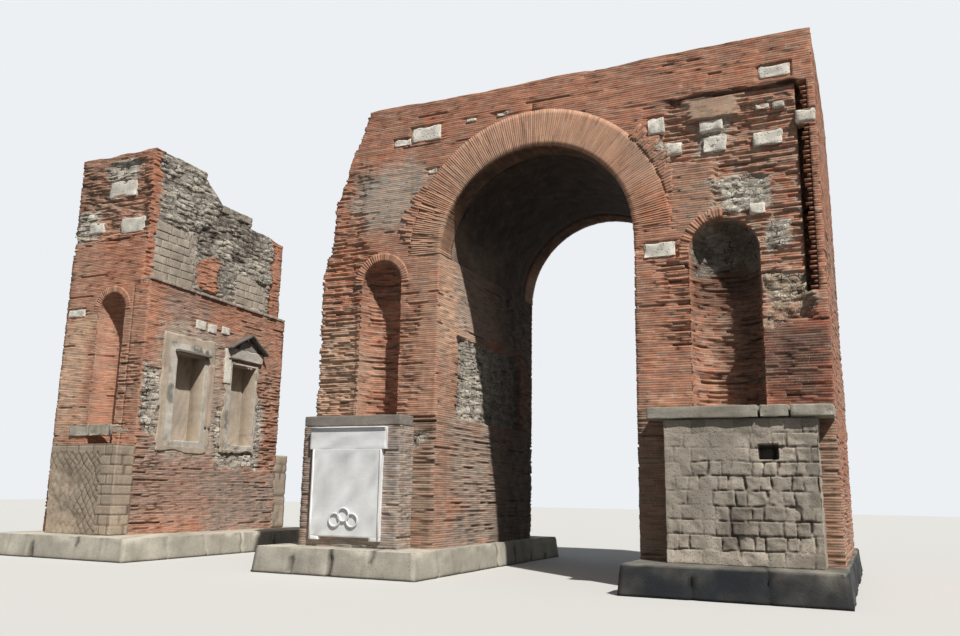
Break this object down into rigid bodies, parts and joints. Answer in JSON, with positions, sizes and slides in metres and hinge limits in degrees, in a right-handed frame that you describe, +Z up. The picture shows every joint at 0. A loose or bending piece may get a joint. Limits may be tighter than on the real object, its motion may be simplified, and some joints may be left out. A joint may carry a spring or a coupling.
{
  "type": "ruined Roman triumphal arch",
  "caption": "Ruined brick triumphal arch: a side archway between two piers with niches and pedestals, and a free-standing pier beyond the lost central archway.",
  "frame": {"origin": "on the ground, under the middle of the whole monument's bounding box", "axes": "+X along the front to the right, +Y through the archway to the rear, +Z up"},
  "size_m": [20.44, 8.62, 11.12],
  "materials": {
    "red_brick": "weathered red and orange brick with pale mortar",
    "grey_brick": "grey-brown weathered brick",
    "ring_brick": "pale pink-orange brick set on edge",
    "sooty_brick": "dark sooty brick and mortar of the vault",
    "rubble": "grey-white rubble and mortar",
    "tufa": "brown-grey tufa",
    "limestone": "pale weathered limestone",
    "marble": "white marble, lightly weathered",
    "plaster": "grey-white lime plaster, broken and stained"
  },
  "bodies": {
    "root": {"right_plinth": "limestone", "right_lower_pier": "grey_brick", "right_pedestal": "tufa", "right_pedestal_cap": "limestone", "right_jamb_pier": "red_brick", "right_niche_pier": "red_brick", "right_corner_pier": "red_brick", "right_niche_ring": "ring_brick", "right_haunch": "red_brick", "toothed_brick_strip": "red_brick", "right_stone_blocks": "limestone", "right_passage_band": "rubble", "middle_plinth": "limestone", "middle_lower_pier": "grey_brick", "middle_pedestal": "grey_brick", "middle_pedestal_cap": "plaster", "marble_tablet": "marble", "laurel_rings": "marble", "middle_niche_pier": "red_brick", "middle_niche_ring": "ring_brick", "middle_haunch": "grey_brick", "middle_stone_blocks": "limestone", "middle_passage_band": "rubble", "front_arch_ring": "ring_brick", "rear_arch_ring": "ring_brick", "barrel_vault": "sooty_brick", "attic_wall": "red_brick", "left_plinth": "limestone", "left_lower_pier": "red_brick", "left_pedestal": "tufa", "left_sill_slab": "limestone", "left_niche_ring": "ring_brick", "passage_lining": "red_brick", "lining_ledge": "grey_brick", "first_shrine_frame": "plaster", "second_shrine_frame": "plaster", "shrine_pediment": "plaster", "left_upper_pier": "red_brick", "left_torn_core": "rubble", "left_tufa_patch": "tufa", "left_brick_edges": "red_brick", "left_top_courses": "tufa", "left_stone_blocks": "limestone"}
  },
  "joints": []
}
